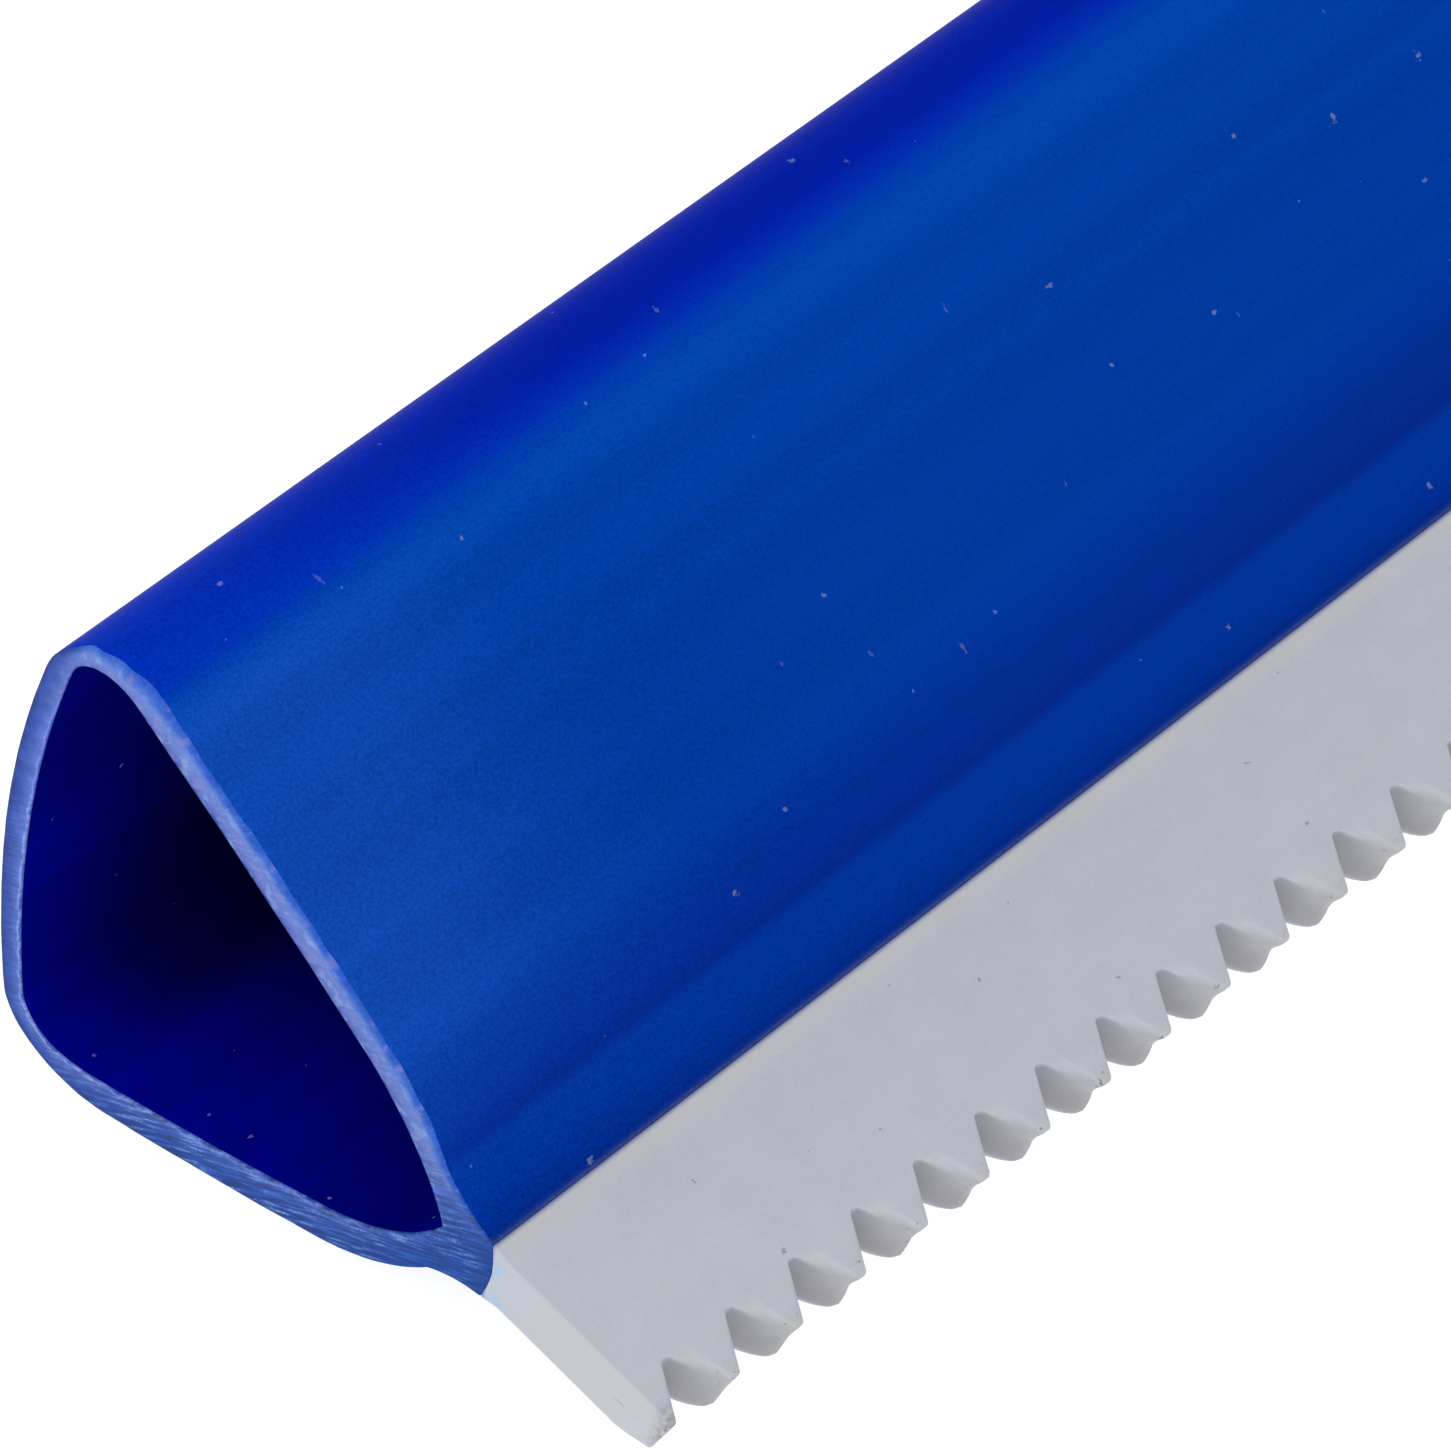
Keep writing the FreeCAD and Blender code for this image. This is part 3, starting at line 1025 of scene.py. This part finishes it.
def saw_marks(look, base, across, back, marks, blotch):
    """Dark and bright marks of the saw, plainest on the nose and the under side."""
    strength = look.span(across, *MARKED_SIDE, 0.15, 1.0)
    strength = look.times(strength, look.span(back, *MARKED_PART, 0.2, 1.0))
    base = look.mix(look.times(strength, look.span(back, *NOSE, 0.6, 0.9)), base, SAWN_NOSE)
    base = look.varied(base, look.times(strength, look.spread(marks, -0.4, 0.4)))
    bright = look.times(strength, look.span(marks, 0.5, 0.64, 0.0, 0.8))
    bright = look.times(bright, look.span(blotch, 0.4, 0.6, 0.1, 1.0))
    bright = look.times(bright, look.span(back, *OFF_WELD, 0.3, 1.0))
    powder = look.grain(look.spot(9.0, 9.0))
    bright = look.times(bright, look.span(powder, 0.4, 0.6, 0.2, 1.0))
    base = look.mix(bright, base, SAWN_STREAK)
    return look.shade(base, look.spread(powder, 0.92, 1.08))


def sawn_plastic():
    """The cut ends: paler, milky blue with the marks of the saw across them."""
    look = Look("sawn_plastic", 0.05)
    across, back = look.layer("section")
    share, girth = look.layer("wall")
    sine = math.sin(SAW_LAY)
    cosine = math.cos(SAW_LAY)
    lay = look.plus(look.times(across, sine), look.times(back, cosine))
    along = look.maths("SUBTRACT", look.times(across, cosine), look.times(back, sine))
    marks = look.grain(look.pair(look.times(lay, 4.5), look.times(along, 0.35)), 5.0)
    blotch = look.grain(look.pair(look.times(lay, 0.5), look.times(along, 0.3)), 3.0)
    torn = look.grain(look.spot(0.9, 0.9), 3.0)
    base, on_panel, ragged = sawn_wall(look, across, back, share, torn)
    scuffed = look.plus(look.spread(marks, -0.1, 0.1), look.spread(torn, -0.08, 0.08))
    base = look.varied(base, look.times(scuffed, look.span(on_panel, 0.0, 1.0, 1.0, 0.3)))
    base = saw_chips(look, base, across, share, girth, ragged)
    base = saw_marks(look, base, across, back, marks, blotch)
    look.colour(base)
    look.roughness(look.spread(marks, 0.45, 0.65))
    look.bump(marks, 0.03)
    return look.material


def hollow_shade(look, girth, from_end):
    """How much light is missing in the hollow, beside what its depth takes."""
    # The inside of the back lies in the shade of the upper panel
    behind = look.larger(look.span(girth, *BACK_ABOVE_HEEL), look.span(girth, *BACK_BELOW_CORNER))
    behind = look.times(behind, look.span(from_end, *SHADE_REACH, 0.0, 0.45))
    # The crease at the heel gets less light, and so do the nose and the upper side
    crease = look.times(look.span(girth, *CREASE_FROM_PANEL), look.span(girth, *CREASE_FROM_BACK))
    crease = look.times(crease, look.span(from_end, *CREASE_REACH, 0.0, 0.45))
    narrow = look.span(girth, *NOSE_SIDE, 0.0, 0.3)
    return look.larger(behind, look.larger(crease, narrow))


def hollow_plastic():
    """The inside of the handle, darkened by painted shade away from its mouths and in the shade of its
    walls, with faint streaks along it and a little swarf.
    """
    look = Look("hollow_plastic", 0.02)
    look.shader.inputs["Specular Tint"].default_value = HOLLOW_GLINT
    x = look.layer("section")[0]
    girth = look.layer("wall")[1]
    from_end = look.from_end(x)
    streaks = look.grain(look.spot(0.01, 0.5), 3.0)
    # Painted shade that deepens from each mouth into the hollow
    base = look.mix(look.span(from_end, *MOUTH_REACH), HOLLOW_MOUTH_LIT, HOLLOW_DEEP_SHADE)
    base = look.shade(base, look.spread(streaks, 0.9, 1.1))
    base = look.shade(base, look.maths("SUBTRACT", 1.0, hollow_shade(look, girth, from_end)))
    swarf = look.specks(look.times(x, 0.2), look.times(girth, 0.2), 0.03, 0.5)
    base = look.mix(look.times(swarf, 0.28), base, DUST)
    look.colour(base)
    look.roughness(look.spread(streaks, 0.4, 0.5))
    look.bump(streaks, 0.01)
    return look.material


def lip_end_look(look, base, depth, from_end):
    """The sawn end of the lip, with blue smeared on to it from the handle."""
    on_end = look.span(from_end, 0.5, 0.0)
    base = look.mix(on_end, base, LIP_END)
    patches = look.grain(look.spot(1.0, 0.9), 3.0)
    smear = look.times(on_end, look.span(depth, *SMEARED))
    smear = look.times(smear, look.span(patches, 0.4, 0.65, 0.0, 0.7))
    return look.mix(smear, base, LIP_SMEAR)


def lip_cut_and_shade(look, base, across, depth, from_end, mottle):
    """The cut faces of the notches and the tip: a more neutral grey, with painted shade that deepens
    towards the under face.
    """
    cut = look.span(look.maths("ABSOLUTE", across, 0.0), LIP_HALF - 0.05, LIP_HALF - 0.5)
    cut = look.times(cut, look.span(depth, *CUT_BEGINS))
    cut = look.times(cut, look.span(from_end, 0.1, 0.2))
    # Painted shade, deepening towards the under face
    cut = look.times(cut, look.span(across, 1.9, -1.6, 0.4, 1.0))
    base = look.mix(cut, base, LIP_CUT_AND_SHADE)
    return look.varied(base, look.times(cut, look.spread(mottle, -0.07, 0.05)))


def lip_dirt(look, base, depth, from_end, mottle):
    """Yellowed tips, with grime on them and on the corners of the sawn ends."""
    at_tip = look.span(depth, *TIP_BEGINS)
    base = look.mix(look.times(at_tip, look.span(mottle, 0.4, 0.65, 0.0, 0.4)), base, LIP_TIP)
    blots = look.grain(look.spot(2.2, 3.0), 3.0)
    grime = look.times(look.span(blots, 0.62, 0.7, 0.0, 0.8), at_tip)
    base = look.mix(grime, base, GRIME)
    corner = look.times(look.span(from_end, 1.6, 0.1), look.span(depth, *DIRTY_CORNER))
    return look.mix(look.times(corner, look.span(blots, 0.35, 0.6, 0.1, 0.55)), base, GRIME)


def lip_plastic():
    """Soft pale grey plastic, a little stained along the weld and dirty at the tips."""
    look = Look("lip_plastic", 0.25)
    x, depth = look.layer("section")
    across = look.layer("wall")[0]
    from_end = look.from_end(x)
    mottle = look.grain(look.spot(0.4, 0.4), 4.0)
    fine = look.grain(look.spot(5.0, 5.0))
    streaks = look.grain(look.spot(0.03, 0.8), 3.0)
    base = look.mix(look.span(streaks, 0.35, 0.65, 0.0, 0.5), LIP_GREY, LIP_COOL)
    light = look.plus(look.spread(mottle, 0.985, 1.015), look.spread(fine, -0.02, 0.02))
    base = look.shade(base, light)
    stain = look.times(look.span(depth, *STAINED, 0.0, 0.6), look.span(mottle, 0.2, 0.8, 0.7, 1.0))
    base = look.mix(stain, base, LIP_STAIN)
    base = lip_end_look(look, base, depth, from_end)
    base = lip_cut_and_shade(look, base, across, depth, from_end, mottle)
    base = look.mix(look.span(depth, *SEAM), base, LIP_SEAM)
    base = lip_dirt(look, base, depth, from_end, mottle)
    specks = look.specks(look.times(x, 0.2), look.times(depth, 0.2), 0.03, 0.4)
    base = look.mix(look.times(specks, 0.5), base, GRIME)
    look.colour(base)
    look.roughness(look.spread(mottle, 0.5, 0.62))
    look.bump(fine, 0.008)
    return look.material


def floor_paint():
    """Pale floor that glows a little, like a light table."""
    look = Look("floor_pale", 0.0)
    look.colour(FLOOR_GREY)
    look.roughness(0.8)
    look.shader.inputs["Emission Color"].default_value = (1.0, 1.0, 1.0, 1.0)
    look.shader.inputs["Emission Strength"].default_value = FLOOR_GLOW
    return look.material


# ---------------- pieces

handle = build_handle([panel_plastic(), hollow_plastic(), sawn_plastic()])
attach(handle, BODY)
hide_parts("handle_profile")

lip = build_lip([lip_plastic()])
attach(lip, BODY)
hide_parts("notched_lip")


# ---------------- floor, light and camera

def build_floor():
    mesh = bpy.data.meshes.new("floor")
    corners = [(-FLOOR, -FLOOR, 0), (FLOOR, -FLOOR, 0), (FLOOR, FLOOR, 0), (-FLOOR, FLOOR, 0)]
    mesh.from_pydata(corners, [], [(0, 1, 2, 3)])
    floor = bpy.data.objects.new("floor", mesh)
    bpy.context.scene.collection.objects.link(floor)
    mesh.materials.append(floor_paint())


def area_light(name, place, side, power):
    """Square light that faces LIGHT_AIM."""
    data = bpy.data.lights.new(name, "AREA")
    data.shape = "SQUARE"
    data.size = side
    data.energy = power
    light = bpy.data.objects.new(name, data)
    light.location = place
    light.rotation_euler = (Vector(place) - Vector(LIGHT_AIM)).to_track_quat("Z", "Y").to_euler()
    bpy.context.scene.collection.objects.link(light)


def sky(strength):
    world = bpy.data.worlds.new("studio")
    bpy.context.scene.world = world
    world.use_nodes = True
    background = world.node_tree.nodes["Background"]
    background.inputs["Color"].default_value = (1.0, 1.0, 1.0, 1.0)
    background.inputs["Strength"].default_value = strength


def build_camera():
    """Camera from its angles round the target: azimuth from -Y towards +X, elevation, and roll."""
    azimuth = math.radians(VIEW_AZIMUTH)
    elevation = math.radians(VIEW_ELEVATION)
    roll = math.radians(VIEW_ROLL)
    towards = Vector((
        math.sin(azimuth) * math.cos(elevation),
        -math.cos(azimuth) * math.cos(elevation),
        math.sin(elevation),
    ))
    level = Vector((math.cos(azimuth), math.sin(azimuth), 0))
    upright = towards.cross(level)
    right = level * math.cos(roll) + upright * math.sin(roll)
    up = upright * math.cos(roll) - level * math.sin(roll)
    data = bpy.data.cameras.new("camera")
    data.lens = VIEW_LENS
    data.sensor_width = 36.0
    data.clip_start = 0.01
    camera = bpy.data.objects.new("camera", data)
    turn = Matrix((right, up, towards)).transposed().to_4x4()
    place = Vector(VIEW_TARGET) * MM + towards * VIEW_DISTANCE * MM
    camera.matrix_world = Matrix.Translation(place) @ turn
    bpy.context.scene.collection.objects.link(camera)
    bpy.context.scene.camera = camera


build_floor()
sky(SKY)
area_light("side_box", (-0.85, 0.3, 0.5), 0.6, 2.2)
area_light("top_box", (-0.25, -0.4, 0.9), 0.7, 3.2)
build_camera()
bpy.context.scene.view_settings.view_transform = "Standard"
